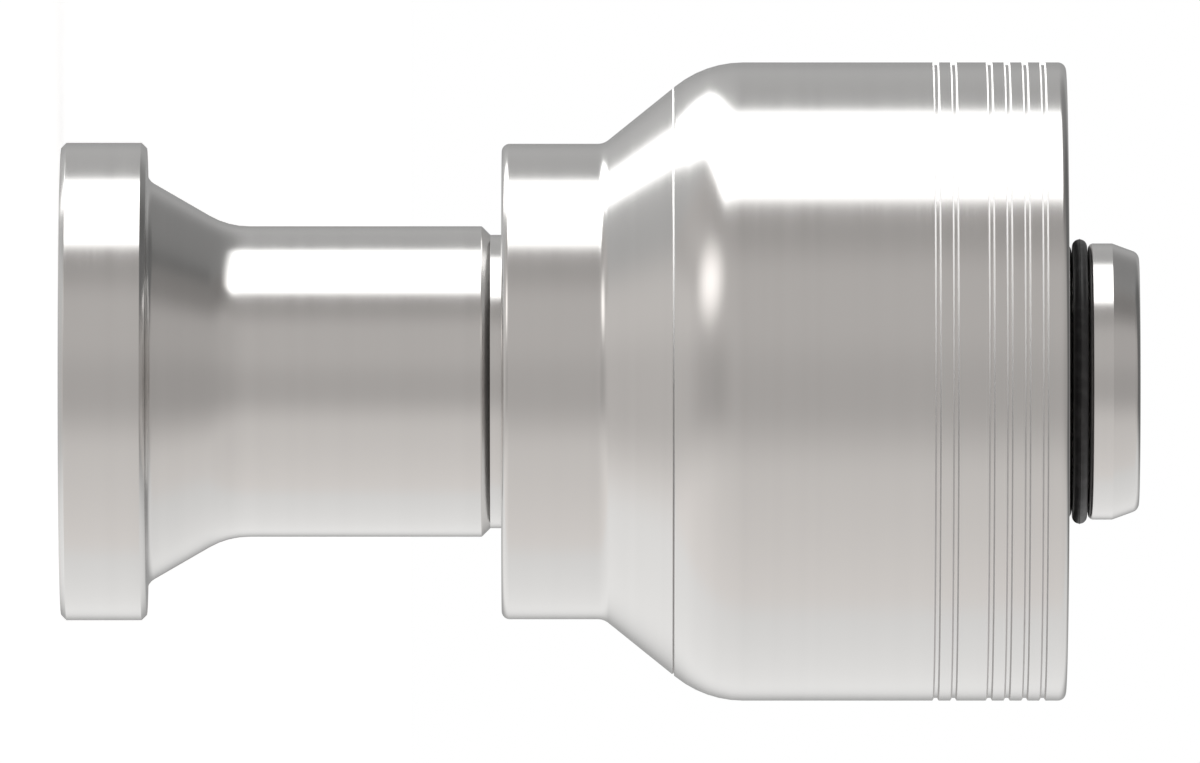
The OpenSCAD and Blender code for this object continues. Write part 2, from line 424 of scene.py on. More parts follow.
@dataclass(frozen=True)
class SteelFinish:
    """Bright plated steel with fine turning marks round its axis.

    Attributes:
        name: Name of the material.
        colour: Colour of the bare metal.
        shade: How much the colour wavers from mark to mark.
        roughness: Mean roughness.
        roughness_play: How much the roughness wavers.
        brushed: Stretch of the gloss across the marks.
        feed_marks: Marks to the millimetre.
        mark_depth: Depth of the fine marks, in millimetres.
        wave_depth: Depth of the slow waves under them, in millimetres.
        wave_length: Length of a slow wave, in marks.
        wander: How far the marks drift on their way round, as a share of the distance across.
    """

    name: str
    colour: tuple[float, float, float]
    shade: float = 0.05
    roughness: float = 0.17
    roughness_play: float = 0.05
    brushed: float = 0.35
    feed_marks: float = 7.0
    mark_depth: float = 0.0012
    wave_depth: float = 0.002
    wave_length: float = 9.0
    wander: float = 0.004

    def material(self) -> bpy.types.Material:
        """Builds the material.

        Returns:
            The new material.
        """
        made, shader, _ = blank_material(self.name)
        tree = made.node_tree
        places = lathe_places(tree, self.wander)
        fine = noise(tree, places, scale=self.feed_marks, detail=2.0)
        slow = noise(tree, places, scale=self.feed_marks / self.wave_length, detail=3.0)
        dark = tuple(c * (1 - self.shade) for c in self.colour)
        tree.links.new(mix_colour(tree, slow, dark, self.colour), shader.inputs["Base Color"])
        waver = (fine * 0.5 + slow * 0.5 - 0.5) * (2 * self.roughness_play)
        plug(tree, shader.inputs["Roughness"], waver + self.roughness)
        shader.inputs["Metallic"].default_value = 1.0
        shader.inputs["Anisotropic"].default_value = self.brushed
        tangent = tree.nodes.new("ShaderNodeTangent")
        tangent.direction_type = "RADIAL"
        tangent.axis = "Z"
        tree.links.new(tangent.outputs[0], shader.inputs["Tangent"])
        height = fine * (self.mark_depth * MM) + slow * (self.wave_depth * MM)
        add_bump(tree, shader, height)
        return made


@dataclass(frozen=True)
class RubberFinish:
    """Moulded black rubber with a faint grain.

    Attributes:
        name: Name of the material.
        colour: Colour of the rubber.
        bloom: Colour of the paler film that lies on it in patches.
        roughness: Roughness of the moulded skin.
        grain: Grains to the millimetre.
        roughness_play: How much the roughness wavers.
        grain_depth: Depth of the grain, in millimetres.
        patch_size: Width of a patch of bloom, in grains.
        patch_low: Noise at which a patch of bloom starts.
        patch_high: Noise at which it is full.
    """

    name: str
    colour: tuple[float, float, float]
    bloom: tuple[float, float, float] = (0.045, 0.045, 0.046)
    roughness: float = 0.42
    grain: float = 5.0
    roughness_play: float = 0.1
    grain_depth: float = 0.004
    patch_size: float = 6.0
    patch_low: float = 0.4
    patch_high: float = 0.75

    def material(self) -> bpy.types.Material:
        """Builds the material.

        Returns:
            The new material.
        """
        made, shader, _ = blank_material(self.name)
        tree = made.node_tree
        places = object_places(tree)
        grains = noise(tree, places, scale=self.grain, detail=4.0)
        patches = noise(tree, places, scale=self.grain / self.patch_size, detail=2.0)
        patches = patches.rise(self.patch_low, self.patch_high)
        tree.links.new(mix_colour(tree, patches, self.colour, self.bloom), shader.inputs["Base Color"])
        rough = grains * (2 * self.roughness_play) + (self.roughness - self.roughness_play)
        plug(tree, shader.inputs["Roughness"], rough)
        add_bump(tree, shader, grains * (self.grain_depth * MM))
        return made


@dataclass(frozen=True)
class PaintedHighlightFinish:
    """A pale dull colour that stands in for the highlight lines on the ring marks' flanks and the hairline,
    with fine lines along the cut. The overhead lamp lights it white.

    Attributes:
        name: Name of the material.
        colour: Colour of the pale surface.
        worn: Colour in the lines.
        roughness: Roughness of the surface.
        roughness_play: How much the roughness wavers.
        gloss: Level of the faint gloss.
        lines: Lines to the millimetre.
        drift: How much of that there is across the lines.
        worn_low: Noise at which a line starts to look worn.
        worn_high: Noise at which it is fully worn.
    """

    name: str
    colour: tuple[float, float, float] = (0.72, 0.715, 0.71)
    worn: tuple[float, float, float] = (0.62, 0.615, 0.61)
    roughness: float = 0.8
    roughness_play: float = 0.05
    gloss: float = 0.2
    lines: float = 9.0
    drift: float = 0.3
    worn_low: float = 0.55
    worn_high: float = 0.8

    def material(self) -> bpy.types.Material:
        """Builds the material.

        Returns:
            The new material.
        """
        made, shader, _ = blank_material(self.name)
        tree = made.node_tree
        x, y, z = object_places(tree)
        places = (x * self.drift, y * self.drift, z * self.lines)
        scratches = noise(tree, places, scale=1.0, detail=3.0)
        worn = scratches.rise(self.worn_low, self.worn_high)
        tree.links.new(mix_colour(tree, worn, self.colour, self.worn), shader.inputs["Base Color"])
        rough = scratches * (2 * self.roughness_play) + (self.roughness - self.roughness_play)
        plug(tree, shader.inputs["Roughness"], rough)
        shader.inputs["Specular IOR Level"].default_value = self.gloss
        return made


@dataclass(frozen=True)
class EdgeBreak:
    """Radii, in millimetres, that break the edges which a drawing leaves sharp.

    Attributes:
        fine: On the small edges of grooves, barbs and teeth.
        rim: On the edges of chamfers.
    """

    fine: float = 0.03
    rim: float = 0.06


@dataclass(frozen=True)
class FlangeHead:
    """The flange head with its seal groove, in millimetres."""

    radius: float
    thickness: float = 8.0
    edge: float = 0.5
    groove_radius: float = 19.85
    groove_width: float = 4.0
    groove_depth: float = 2.8
    groove_fillet: float = 0.5

    def face(self, bore: float, bore_edge: float, breaks: EdgeBreak) -> list[Corner]:
        """Gives the flange face.

        Args:
            bore: Radius of the bore.
            bore_edge: Chamfer of the bore at this face.
            breaks: The edge breaks.

        Returns:
            Its corners, from the bore outwards.
        """
        inner = self.groove_radius - self.groove_width
        return [
            Corner(bore, bore_edge, breaks.rim),
            Corner(bore + bore_edge, 0, breaks.rim),
            Corner(inner, 0, breaks.rim),
            Corner(inner, self.groove_depth, self.groove_fillet),
            Corner(self.groove_radius, self.groove_depth, self.groove_fillet),
            Corner(self.groove_radius, 0, breaks.rim),
        ]

    def rim(self, breaks: EdgeBreak) -> list[Corner]:
        """Gives the rim.

        Args:
            breaks: The edge breaks.

        Returns:
            Its corners, from the face to the back of the head.
        """
        return [
            Corner(self.radius - self.edge, 0, breaks.rim),
            Corner(self.radius, self.edge, breaks.rim),
            Corner(self.radius, self.thickness - self.edge, breaks.rim),
            Corner(self.radius - self.edge, self.thickness, breaks.rim),
        ]


@dataclass(frozen=True)
class Shank:
    """The cone behind the flange head and the straight shank with its sloping shoulder, in millimetres."""

    cone_radius: float = 18.8
    cone_angle: float = 30.0
    root_fillet: float = 1.35
    blend: float = 7.4
    radius: float = 14.45
    shoulder_reach: float = 39.95
    shoulder_angle: float = 45.0
    shoulder_round: float = 0.25

    def corners(self, start: float, neck_radius: float, breaks: EdgeBreak) -> list[Corner]:
        """Gives the outside from the flange head to the neck.

        Args:
            start: Height at which the cone starts.
            neck_radius: Radius of the neck behind the shoulder.
            breaks: The edge breaks.

        Returns:
            The corners in order.
        """
        cone_end = start + (self.cone_radius - self.radius) / math.tan(math.radians(self.cone_angle))
        slope = (self.radius - neck_radius) / math.tan(math.radians(self.shoulder_angle))
        return [
            Corner(self.cone_radius, start, self.root_fillet),
            Corner(self.radius, cone_end, self.blend),
            Corner(self.radius, self.shoulder_reach - slope, self.shoulder_round),
            Corner(neck_radius, self.shoulder_reach, breaks.fine),
        ]


@dataclass(frozen=True)
class LockBand:
    """The groove round the neck and the lip of the shell that is pressed into it, in millimetres."""

    reach: float = 6.5
    width: float = 3.0
    depth: float = 0.9
    flank_angle: float = 30.0
    play: float = 0.08

    def corners(self, middle: float, wide: float, narrow: float, width: float) -> list[Corner]:
        """Gives a groove or a lip.

        Args:
            middle: Height of its middle.
            wide: Radius of the wall on each side of it.
            narrow: Radius of its floor or crest.
            width: Width of its floor or crest.

        Returns:
            Its four corners.
        """
        flank = (wide - narrow) * math.tan(math.radians(self.flank_angle))
        return [
            Corner(wide, middle - width / 2 - flank),
            Corner(narrow, middle - width / 2),
            Corner(narrow, middle + width / 2),
            Corner(wide, middle + width / 2 + flank),
        ]


@dataclass(frozen=True)
class TailBarbs:
    """The notches that hold the hose on its tail, in millimetres."""

    lead: float = 2.5
    pitch: float = 5.0
    depth: float = 0.6
    slope: float = 10.0
    flank_angle: float = 15.0
    land: float = 3.5

    def corners(self, radius: float, start: float, end: float, breaks: EdgeBreak) -> list[Corner]:
        """Gives the notches.

        Args:
            radius: Radius of the tail.
            start: Height of the hose stop.
            end: Height of the shell's mouth.
            breaks: The edge breaks.

        Returns:
            Three corners for each notch.
        """
        first = start + self.lead
        count = math.floor((end - self.land - first) / self.pitch)
        slope = self.depth / math.tan(math.radians(self.slope))
        flank = self.depth * math.tan(math.radians(self.flank_angle))
        found = []
        for i in range(count):
            foot = first + i * self.pitch
            found += [
                Corner(radius, foot),
                Corner(radius - self.depth, foot + slope, breaks.fine),
                Corner(radius, foot + slope + flank, breaks.fine),
            ]
        return found


@dataclass(frozen=True)
class Nose:
    """The tapered nose of the hose tail, in millimetres."""

    taper: float = 2.5
    angle: float = 20.0
    rounding: float = 0.85

    def corners(self, radius: float, top: float, bore: float, edge: float, breaks: EdgeBreak) -> list[Corner]:
        """Gives the taper, the end face and the mouth of the bore.

        Args:
            radius: Radius of the tail.
            top: Height of the end face.
            bore: Radius of the bore.
            edge: Chamfer of the bore.
            breaks: The edge breaks.

        Returns:
            The corners in order.
        """
        rim = radius - self.taper * math.tan(math.radians(self.angle))
        return [
            Corner(radius, top - self.taper, breaks.rim),
            Corner(rim, top, self.rounding),
            Corner(bore + edge, top, breaks.fine),
            Corner(bore, top - edge, breaks.fine),
        ]


@dataclass(frozen=True)
class SealSeat:
    """The groove of the tail seal ring and the ring's own section, in millimetres."""

    side_play: float = 0.03
    floor_play: float = 0.02
    edge_shell: float = 0.7
    edge_nose: float = 0.5
    fillet: float = 0.2

    def corners(self, radius: float, ring_low: float, ring_high: float, ring_inside: float) -> list[Corner]:
        """Gives the groove round a seal ring.

        Args:
            radius: Radius of the tail.
            ring_low: Height at which the ring starts.
            ring_high: Height at which it ends.
            ring_inside: Radius of the hole in the ring.

        Returns:
            The four corners of the groove.
        """
        low = ring_low - self.side_play
        high = ring_high + self.side_play
        floor = ring_inside - self.floor_play
        return [
            Corner(radius, low, self.edge_shell),
            Corner(floor, low, self.fillet),
            Corner(floor, high, self.fillet),
            Corner(radius, high, self.edge_nose),
        ]


@dataclass(frozen=True)
class ShellMarks:
    """The shallow ring marks near the shell's mouth, in millimetres."""

    reach: float = 2.2
    pitch: float = 1.655
    width: float = 0.6
    floor_width: float = 0.30
    depth: float = 0.25
    places: tuple[int, ...] = (6, 5, 3, 2, 1, 0)

    def lowest(self, rear: float) -> float:
        """Returns the height at which the lowest mark starts."""
        return rear - self.reach - max(self.places) * self.pitch - self.width

    def corners(self, radius: float, rear: float, breaks: EdgeBreak) -> list[Corner]:
        """Gives the marks.

        Args:
            radius: Radius of the shell's body.
            rear: Height of the shell's mouth.
            breaks: The edge breaks.

        Returns:
            Four corners for each mark.
        """
        found = []
        for place in self.places:
            middle = rear - self.reach - place * self.pitch
            found += [
                Corner(radius, middle - self.width / 2, breaks.fine),
                Corner(radius - self.depth, middle - self.floor_width / 2, breaks.fine),
                Corner(radius - self.depth, middle + self.floor_width / 2, breaks.fine),
                Corner(radius, middle + self.width / 2, breaks.fine),
            ]
        return found


@dataclass(frozen=True)
class GripTeeth:
    """The teeth inside the shell that bite into the hose, in millimetres."""

    crest_radius: float = 21.0
    root_radius: float = 22.8
    pitch: float = 5.0
    crest_width: float = 1.4
    hold_angle: float = 15.0
    lead_angle: float = 35.0

    def corners(self, start: float, end: float, breaks: EdgeBreak) -> list[Corner]:
        """Gives the teeth.

        Args:
            start: Height at which the stop's wall ends.
            end: Height at which the land at the mouth begins its step.
            breaks: The edge breaks.

        Returns:
            Four corners for each tooth.
        """
        height = self.root_radius - self.crest_radius
        hold = height * math.tan(math.radians(self.hold_angle))
        lead = height * math.tan(math.radians(self.lead_angle))
        count = math.floor((end - start) / self.pitch)
        found = []
        for i in range(count):
            foot = end - (count - i) * self.pitch
            found += [
                Corner(self.root_radius, foot, breaks.rim),
                Corner(self.crest_radius, foot + hold, breaks.fine),
                Corner(self.crest_radius, foot + hold + self.crest_width, breaks.rim),
                Corner(self.root_radius, foot + hold + self.crest_width + lead, breaks.rim),
            ]
        return found


@dataclass
class TurnedPiece:
    """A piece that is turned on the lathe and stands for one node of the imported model."""

    node: str = ""
    slot: str = ""
    lathe: Lathe = field(default_factory=Lathe)
    breaks: EdgeBreak = field(default_factory=EdgeBreak)

    def corners(self) -> list[Corner]:
        """Returns the corners of the piece's profile."""
        raise NotImplementedError

    @cached_property
    def bottom(self) -> float:
        """The lowest point of the node, in millimetres."""
        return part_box(self.node)[0].z / MM

    @cached_property
    def top(self) -> float:
        """The highest point of the node, in millimetres."""
        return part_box(self.node)[1].z / MM

    @cached_property
    def reach(self) -> float:
        """The largest radius of the node, in millimetres."""
        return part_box(self.node)[1].x / MM

    def build(self) -> bpy.types.Object:
        """Turns the piece and lets it stand for its node.

        Returns:
            The finished piece, without its finish.
        """
        piece = self.lathe.turn("turned_" + self.node, self.corners())
        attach(piece, "root")
        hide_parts(self.node)
        LOG.info("%s: %d faces", piece.name, len(piece.data.polygons))
        return piece


@dataclass
class SteelPiece(TurnedPiece):
    """A turned steel piece, bright outside and duller where it is bored."""

    finishes: dict[Cut, bpy.types.Material] = field(default_factory=dict)
    bored_lean: float = -0.2

    def cut_of(self, face: bpy.types.MeshPolygon) -> Cut:
        """Says how a face was cut.

        Args:
            face: A face of the turned mesh.

        Returns:
            Bored where the face looks at the axis, and turned elsewhere.
        """
        outward = Vector((face.center.x, face.center.y, 0)).normalized()
        return Cut.BORED if face.normal.dot(outward) < self.bored_lean else Cut.TURNED

    def dress(self, piece: bpy.types.Object) -> None:
        """Gives each face the finish of its cut.

        Args:
            piece: The turned mesh.
        """
        for cut in Cut:
            piece.data.materials.append(self.finishes[cut])
        for face in piece.data.polygons:
            face.material_index = self.cut_of(face).value


@dataclass
class Nipple(SteelPiece):
    """The one-piece nipple: flange head, cone, shank, neck, hose tail and nose, with the bore through it."""

    node: str = "nipple"
    slot: str = "nipple_steel"
    bore: float = 10.0
    bore_face_edge: float = 0.8
    bore_nose_edge: float = 0.5
    neck_radius: float = 13.65
    tail_radius: float = 12.85
    hose_stop: float = 54.5
    shank: Shank = field(default_factory=Shank)
    lock: LockBand = field(default_factory=LockBand)
    barbs: TailBarbs = field(default_factory=TailBarbs)
    seat: SealSeat = field(default_factory=SealSeat)
    nose: Nose = field(default_factory=Nose)

    def corners(self) -> list[Corner]:
        """Gives the nipple's profile.

        Returns:
            The corners, from the bore at the face round to the bore at the nose.
        """
        head = FlangeHead(radius=self.reach)
        shell_low, shell_high = (corner.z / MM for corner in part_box("crimp_shell"))
        ring_low, ring_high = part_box("tail_o_ring")
        ring_inside = (ring_high.x - (ring_high.z - ring_low.z)) / MM
        lock_z = shell_low + self.lock.reach
        lock_floor = self.neck_radius - self.lock.depth
        step = self.neck_radius - self.tail_radius
        return [
            *head.face(self.bore, self.bore_face_edge, self.breaks),
            *head.rim(self.breaks),
            *self.shank.corners(head.thickness, self.neck_radius, self.breaks),
            *self.lock.corners(lock_z, self.neck_radius, lock_floor, self.lock.width),
            Corner(self.neck_radius, self.hose_stop - step, self.breaks.rim),
            Corner(self.tail_radius, self.hose_stop, self.breaks.rim),
            *self.barbs.corners(self.tail_radius, self.hose_stop, shell_high, self.breaks),
            *self.seat.corners(self.tail_radius, ring_low.z / MM, ring_high.z / MM, ring_inside),
            *self.nose.corners(self.tail_radius, self.top, self.bore, self.bore_nose_edge, self.breaks),
        ]


@dataclass
class CrimpShell(SteelPiece):
    """The crimp shell: neck, cone, body with ring marks, and the grip teeth inside.

    A face of a ring mark is a flank where its normal has more than flank_lean along the axis. A face is in
    the hairline where it lies deeper than hairline_skin and within hairline_search of the groove's end.
    """

    node: str = "crimp_shell"
    slot: str = "shell_steel"
    bore: float = 13.7
    bore_edge: float = 0.6
    bore_play: float = 0.05
    neck_radius: float = 22.125
    neck_length: float = 9.5
    front_round: float = 0.75
    root_fillet: float = 1.6
    cone_angle: float = 38.8
    blend: float = 10.0
    rear_round: float = 0.75
    hairline_width: float = 0.2
    hairline_depth: float = 0.15
    hairline_skin: float = 0.025
    hairline_search: float = 0.6
    flank_lean: float = 0.75
    stop_reach: float = 13.5
    stop_radius: float = 19.2
    mouth_radius: float = 21.6
    mouth_length: float = 4.5
    mouth_edge: float = 1.0
    lock: LockBand = field(default_factory=LockBand)
    marks: ShellMarks = field(default_factory=ShellMarks)
    teeth: GripTeeth = field(default_factory=GripTeeth)

    def hairline(self, cone_end: float) -> list[Corner]:
        """Gives the hairline groove, square to the cone, one width ahead of the blend.

        Args:
            cone_end: Height at which the cone would meet the body.

        Returns:
            The four corners of the groove.
        """
        slope = math.radians(self.cone_angle)
        along = Vector((math.sin(slope), math.cos(slope)))
        inward = Vector((-math.cos(slope), math.sin(slope))) * self.hairline_depth
        leg = self.blend * math.tan(slope / 2)
        end = Vector((self.reach, cone_end)) - along * (leg + self.hairline_width)
        start = end - along * self.hairline_width
        return [Corner(p.x, p.y, self.breaks.fine) for p in (start, start + inward, end + inward, end)]

    def outside_corners(self) -> list[Corner]:
        """Gives the outside.

        Returns:
            The corners, from the front face to the mouth.
        """
        front, rear, radius = self.bottom, self.top, self.reach
        cone_start = front + self.neck_length
        cone_end = cone_start + (radius - self.neck_radius) / math.tan(math.radians(self.cone_angle))
        return [
            Corner(self.bore + self.bore_edge, front, self.breaks.rim),
            Corner(self.neck_radius, front, self.front_round),
            Corner(self.neck_radius, cone_start, self.root_fillet),
            *self.hairline(cone_end),
            Corner(radius, cone_end, self.blend),
            *self.marks.corners(radius, rear, self.breaks),
            Corner(radius, rear, self.rear_round),
        ]

    def inside_corners(self) -> list[Corner]:
        """Gives the inside.

        Returns:
            The corners, from the front face to the mouth.
        """
        front, rear = self.bottom, self.top
        stop = front + self.stop_reach
        wall_end = stop + self.teeth.root_radius - self.stop_radius
        mouth_start = rear - self.mouth_length
        mouth_drop = self.teeth.root_radius - self.mouth_radius
        mouth_step = mouth_drop * math.tan(math.radians(self.teeth.hold_angle))
        lip = self.bore - self.bore_play - self.lock.depth + self.lock.play
        return [
            Corner(self.bore, front + self.bore_edge, self.breaks.rim),
            *self.lock.corners(front + self.lock.reach, self.bore, lip, self.lock.width - 2 * self.lock.play),
            Corner(self.bore, stop, self.breaks.rim),
            Corner(self.stop_radius, stop, self.breaks.rim),
            Corner(self.teeth.root_radius, wall_end, self.breaks.rim),
            *self.teeth.corners(wall_end, mouth_start - mouth_step, self.breaks),
            Corner(self.teeth.root_radius, mouth_start - mouth_step, self.breaks.rim),
            Corner(self.mouth_radius, mouth_start, self.breaks.rim),
            Corner(self.mouth_radius, rear - self.mouth_edge, self.breaks.rim),
            Corner(self.mouth_radius + self.mouth_edge, rear, self.breaks.rim),
        ]

    def corners(self) -> list[Corner]:
        """Returns the shell's whole profile."""
        return self.outside_corners() + self.inside_corners()[::-1]

    def in_hairline(self, face: bpy.types.MeshPolygon) -> bool:
        """Says whether a face lies under the cone's surface, which only the hairline groove does.

        Args:
            face: A face of the turned mesh.

        Returns:
            True inside the groove.
        """
        slope = math.radians(self.cone_angle)
        out = math.hypot(face.center.x, face.center.y) / MM - self.neck_radius
        rise = face.center.z / MM - self.bottom - self.neck_length
        below = rise * math.sin(slope) - out * math.cos(slope)
        end = (self.reach - self.neck_radius) / math.tan(slope)
        end -= (self.blend * math.tan(slope / 2) + self.hairline_width / 2) * math.cos(slope)
        return below > self.hairline_skin and end - self.hairline_search < rise < end

    def cut_of(self, face: bpy.types.MeshPolygon) -> Cut:
        """Says how a face was cut, with a pale colour on the ring marks' flanks that stands in for their
        highlights, and painted shade on the shell's front bore.

        Args:
            face: A face of the turned mesh.

        Returns:
            The cut.
        """
        height = face.center.z / MM
        cut = super().cut_of(face)
        in_marks = self.marks.lowest(self.top) < height < self.top - self.marks.reach / 2
        # Painted highlight: the ring marks' flanks and the hairline get a pale dull colour that the overhead
        # lamp lights white
        if cut is Cut.TURNED and in_marks and abs(face.normal.z) > self.flank_lean:
            return Cut.SCORED
        if cut is Cut.TURNED and self.in_hairline(face):
            return Cut.SCORED
        # Painted shade: the shell's bore ahead of the stop, between shell and nipple, gets a dark copy of the
        # steel colour
        if cut is Cut.BORED and height < self.bottom + self.stop_reach:
            return Cut.SEATED
        return cut


@dataclass
class TailSealRing(TurnedPiece):
    """The rubber seal ring near the nose, with the fine ridge that its mould leaves."""

    node: str = "tail_o_ring"
    slot: str = "seal_rubber"
    ridge_height: float = 0.05
    ridge_width: float = 0.09
    ridge_round: float = 0.02
    section_steps: int = 48
    finish: RubberFinish | None = None

    def corners(self) -> list[Corner]:
        """Gives the ring's round section, drawn in by the ridge's height.

        Returns:
            The corners, from the ridge outside the section and on round it.
        """
        half = (self.top - self.bottom) / 2
        middle = self.reach - half
        height = (self.top + self.bottom) / 2
        body = half - self.ridge_height
        ridge_angle = math.asin(self.ridge_width / 2 / body)
        found = [Corner(self.reach, height, self.ridge_round)]
        for i in range(self.section_steps + 1):
            angle = ridge_angle + (math.tau - 2 * ridge_angle) * i / self.section_steps
            found.append(Corner(middle + body * math.cos(angle), height + body * math.sin(angle)))
        return found

    def dress(self, piece: bpy.types.Object) -> None:
        """Gives the ring its rubber.

        Args:
            piece: The turned mesh.
        """
        piece.data.materials.append(self.finish.material())


@dataclass(frozen=True)
class Aim:
    """A direction as the picture has it: up is the frame's -X, the side its +Z and the back its +Y."""

    up: Field
    side: Field
    back: Field


@dataclass(frozen=True)
class Ease:
    """Two values between which a share eases from zero to one."""

    low: float
    high: float

    def of(self, value: Field) -> Field:
        """Returns the share at a value."""
        return value.rise(self.low, self.high)


@dataclass(frozen=True)
class Band:
    """A band of light: the level gains over one stretch and loses over a later one.

    Attributes:
        gains: The stretch over which it gains.
        loses: The stretch over which it loses.
        gain: How much it gains.
        loss: How much it loses.
    """

    gains: Ease
    loses: Ease
    gain: float = 1.0
    loss: float = 1.0

    def of(self, value: Field) -> Field:
        """Returns the change of level at a value."""
        return self.gains.of(value) * self.gain - self.loses.of(value) * self.loss


@dataclass(frozen=True)
class Bend:
    """A place below which an edge leans away, and how steeply it does."""

    start: float
    slope: float

    def of(self, value: Field) -> Field:
        """Returns how far the edge has moved at a value."""
        return (value - self.start).at_most(0.0) * -self.slope


@dataclass(frozen=True)
class Slant:
    """How much each part of a direction counts along a slanted line."""

    up: float
    side: float
    back: float

    def of(self, aim: Aim) -> Field:
        """Returns how far a direction points along the line."""
        return aim.up * self.up + aim.back * self.back + aim.side * self.side


@dataclass(frozen=True)
class GreyRoom:
    """The grey room that the steel mirrors, with its darker places and the pale sweep below the object.

    Attributes:
        level: Level of the room, as a share of white.
        side_fall: How much the level falls towards the hose end.
        far_wall: Where the far wall starts, by how far a direction points back.
        far_loss: How much the far wall loses.
        at_left: Where the flange end's wall starts.
        at_front: Where the front wall starts.
        left_band: The flange end's wall, by height.
        front_band: The front wall, by height.
        beside: The stretch of the front wall that has the waist.
        waist: The darker waist of that stretch, by height.
        waist_loss: How much the waist loses.
        dark_line: The line that the dark upper end lies along.
        dark_along: Where the dark end starts on that line.
        dark_lean: How much lower the dark end reaches towards the back.
        dark_above: The height at which the dark end starts.
        dark_loss: Share that the dark end loses.
        darkest_side: Where its darkest corner starts, to the side.
        darkest_back: Where that corner starts, to the back.
        darkest_loss: Share that the corner loses besides.
        behind_side: Where the dark wall behind the hose end starts, to the side.
        behind_back: Where that wall starts, to the back.
        behind_loss: Share that the wall loses.
        sweep_level: Level of the pale sweep.
        sweep_slant: How the sweep's level changes with the direction.
        sweep_below: How far below the object the sweep starts.
    """

    level: float = 0.49
    side_fall: float = 0.09
    far_wall: Ease = Ease(0.85, 1.0)
    far_loss: float = 0.12
    at_left: Ease = Ease(0.6, 0.9)
    at_front: Ease = Ease(-0.2, 0.4)
    left_band: Band = Band(Ease(0.05, 0.3), Ease(0.38, 0.54), gain=0.06, loss=0.15)
    front_band: Band = Band(Ease(0.0, 0.35), Ease(0.62, 0.86), gain=0.06, loss=0.16)
    beside: Band = Band(Ease(0.1, 0.5), Ease(0.6, 1.0))
    waist: Band = Band(Ease(-0.4, -0.1), Ease(0.1, 0.45))
    waist_loss: float = 0.10
    dark_line: Slant = Slant(up=0.62, side=0.72, back=0.30)
    dark_along: Ease = Ease(0.60, 0.88)
    dark_lean: float = 0.25
    dark_above: Ease = Ease(0.36, 0.60)
    dark_loss: float = 0.42
    darkest_side: Ease = Ease(0.55, 0.75)
    darkest_back: Ease = Ease(0.1, 0.35)
    darkest_loss: float = 0.25
    behind_side: Ease = Ease(0.45, 0.7)
    behind_back: Ease = Ease(-0.25, 0.1)
    behind_loss: float = 0.62
    sweep_level: float = 0.84
    sweep_slant: Slant = Slant(up=0.0, side=-0.10, back=0.17)
    sweep_below: Ease = Ease(0.14, 0.58)

    def light(self, aim: Aim) -> Field:
        """Gives the level in a direction.

        Args:
            aim: The direction.

        Returns:
            The level, as a share of white.
        """
        left = self.at_left.of(-aim.side)
        front = self.at_front.of(-aim.back)
        room = -aim.side * self.side_fall + self.level
        room = room - self.far_wall.of(aim.back) * self.far_loss
        room = room + self.front_band.of(aim.up) * front + self.left_band.of(aim.up) * left
        waist = self.beside.of(-aim.side) * self.waist.of(aim.up) * front
        room = room - waist * self.waist_loss
        dark_end = self.dark_along.of(self.dark_line.of(aim))
        dark_end = dark_end * self.dark_above.of(aim.up + aim.back * self.dark_lean)
        darkest = self.darkest_side.of(aim.side) * self.darkest_back.of(aim.back)
        dark_end = dark_end * (darkest * self.darkest_loss + self.dark_loss)
        behind = self.behind_side.of(aim.side) * self.behind_back.of(aim.back)
        dark = dark_end.at_least(behind * self.behind_loss)
        sweep = self.sweep_slant.of(aim) + self.sweep_level
        below = self.sweep_below.of(-aim.up)
        return room * (-dark + 1.0) * (-below + 1.0) + sweep * below


@dataclass(frozen=True)
class LongWindow:
    """The long soft window above the object, which turns back at its far end.

    Its places lie on a ceiling one unit up: along runs to the hose end, and across runs to the front.

    Attributes:
        level: Level of the window, as a share of white.
        lowest: Least height that a direction is taken to have, so that its place stays finite.
        front_step: Where the front edge steps back towards the flange end.
        front_shift: How far it steps back.
        front_bend: Where it leans back further.
        front_turn: Where it leans back most.
        hose_step: Where it steps back towards the hose end.
        hose_shift: How far it steps back there.
        front_fade: Over what width it fades.
        back_step: Where the back edge steps back towards the flange end.
        back_shift: How far it steps back.
        back_bend: Where it leans on.
        back_fade: Over what width it fades.
        far_bend: Where the far end leans in.
        far_fade: Over what width it fades.
        end_skew: How much the hose end's edge is skewed.
        end_fade: Over what width it fades.
        low_fade: Over what height the window fades above the horizon.
    """

    level: float = 2.2
    lowest: float = 0.05
    front_step: Ease = Ease(-0.30, -0.56)
    front_shift: float = 0.55
    front_bend: Bend = Bend(-0.56, 0.6)
    front_turn: Bend = Bend(-0.82, 0.65)
    hose_step: Ease = Ease(0.3, 0.6)
    hose_shift: float = 0.2
    front_fade: Ease = Ease(0.42, 0.34)
    back_step: Ease = Ease(-0.06, -0.40)
    back_shift: float = 0.66
    back_bend: Bend = Bend(-0.40, 0.36)
    back_fade: Ease = Ease(-0.51, -0.42)
    far_bend: Bend = Bend(-0.6, 0.25)
    far_fade: Ease = Ease(0.845, 0.745)
    end_skew: float = 0.35
    end_fade: Ease = Ease(0.54, 0.26)
    low_fade: Ease = Ease(0.05, 0.2)

    def share(self, aim: Aim) -> Field:
        """Gives the window's share in a direction.

        Args:
            aim: The direction.

        Returns:
            One where the direction meets the window, and zero outside it.
        """
        height = aim.up.at_least(self.lowest)
        along = aim.side / height
        across = -aim.back / height
        left = along.at_most(0.0)
        front = across + self.front_step.of(along) * self.front_shift
        front = front + self.front_bend.of(along) + self.front_turn.of(along)
        front = front + self.hose_step.of(along) * self.hose_shift
        back = across + self.back_step.of(left) * self.back_shift + self.back_bend.of(left)
        far = aim.back + self.far_bend.of(along)
        end = along - across * self.end_skew
        inside = self.front_fade.of(front) * self.back_fade.of(back) * self.far_fade.of(far)
        return inside * self.end_fade.of(end) * self.low_fade.of(aim.up)


